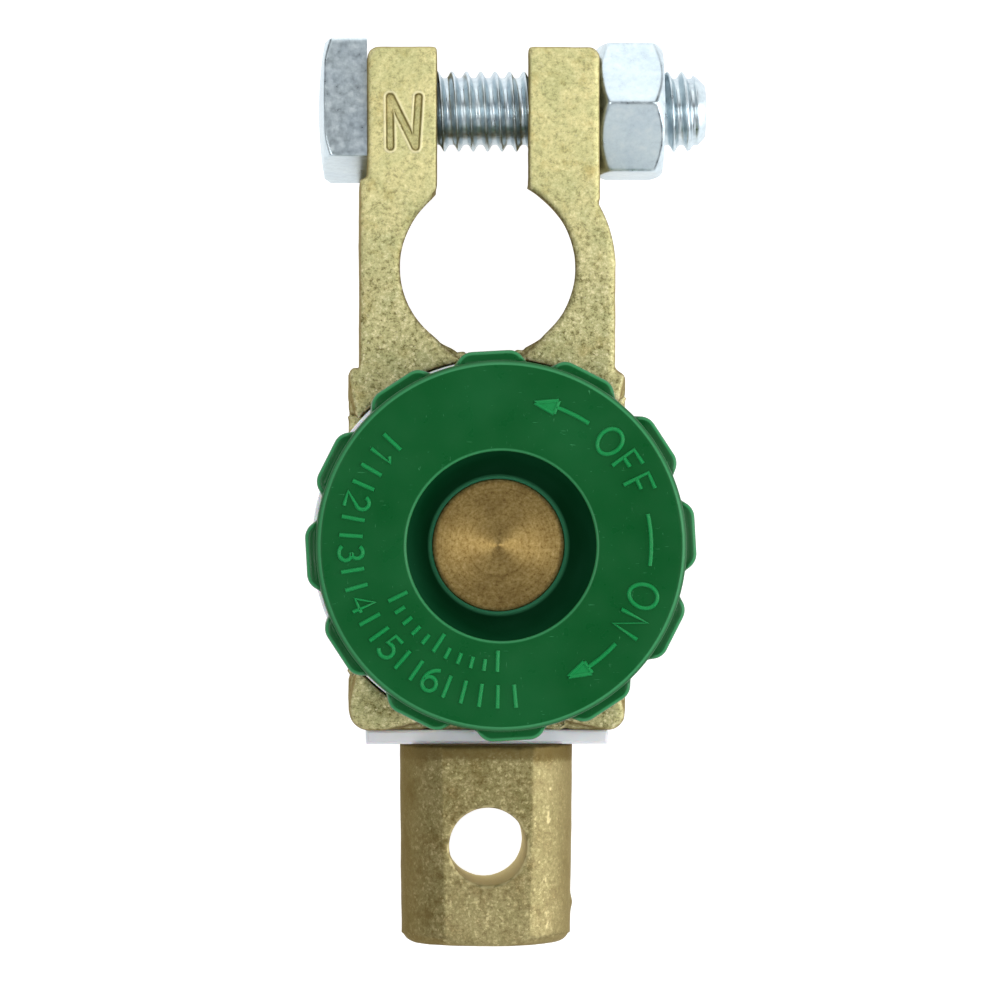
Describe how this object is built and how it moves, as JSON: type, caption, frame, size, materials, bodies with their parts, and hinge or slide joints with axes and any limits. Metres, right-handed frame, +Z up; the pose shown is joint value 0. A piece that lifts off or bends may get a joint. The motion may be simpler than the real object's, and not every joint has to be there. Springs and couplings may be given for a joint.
{
  "type": "battery terminal quick disconnect",
  "caption": "Brass battery-post clamp with a lobed screw-in switch knob, insulated from a lower casting whose barrel and cross hole take the vehicle's cable.",
  "frame": {"origin": "centre of the battery-post bore at the underside", "axes": "+Z up along the bore and the knob's axis, +Y towards the clamp's ears, -Y towards the cable barrel, +X towards the clamp nut"},
  "size_m": [0.0392, 0.0882, 0.0288],
  "materials": {
    "pale_brass": "as cast",
    "brown_brass": "as cast",
    "turned_brass": "turned",
    "contact_brass": "turned",
    "zinc_steel": "zinc plated",
    "washer_steel": "plain",
    "green_plastic": "semi-gloss",
    "white_nylon": "satin",
    "seal_rubber": "matte"
  },
  "bodies": {
    "terminal": {"clamp_body": "pale_brass", "clamp_bolt": "zinc_steel", "cable_post": "brown_brass", "insulator_plate": "white_nylon", "insulator_disc": "white_nylon", "contact_seat": "contact_brass", "fixing_screw_1": "zinc_steel", "fixing_screw_2": "zinc_steel", "fixing_screw_3": "zinc_steel", "fixing_screw_4": "zinc_steel", "shoulder_bush_1": "white_nylon", "shoulder_bush_2": "white_nylon", "shoulder_bush_3": "white_nylon", "shoulder_bush_4": "white_nylon"},
    "knob_travel": {"retaining_ring": "washer_steel", "thrust_washer": "washer_steel"},
    "knob": {"knob": "green_plastic", "contact_stud": "turned_brass", "stud_seal": "seal_rubber"},
    "clamp_nut": {"clamp_nut": "zinc_steel"}
  },
  "joints": [
    {"name": "knob_lift", "type": "slide", "parent": "terminal", "child": "knob_travel", "axis": [0, 0, 1], "range_m": [0, 0.0022]},
    {"name": "knob_turn", "type": "hinge", "parent": "knob_travel", "child": "knob", "pos_m": [0.0009, -0.0269, 0], "axis": [0, 0, 1], "range_deg": [0, 450]},
    {"name": "clamp_nut_turn", "type": "hinge", "parent": "terminal", "child": "clamp_nut", "pos_m": [0.0109, 0.01558, 0.0075], "axis": [1, 0, 0], "range_deg": [-180, 180]}
  ],
  "couplings": [
    {"joint": "knob_lift", "follows": "knob_turn", "m_per_rad": 0.00027852}
  ]
}
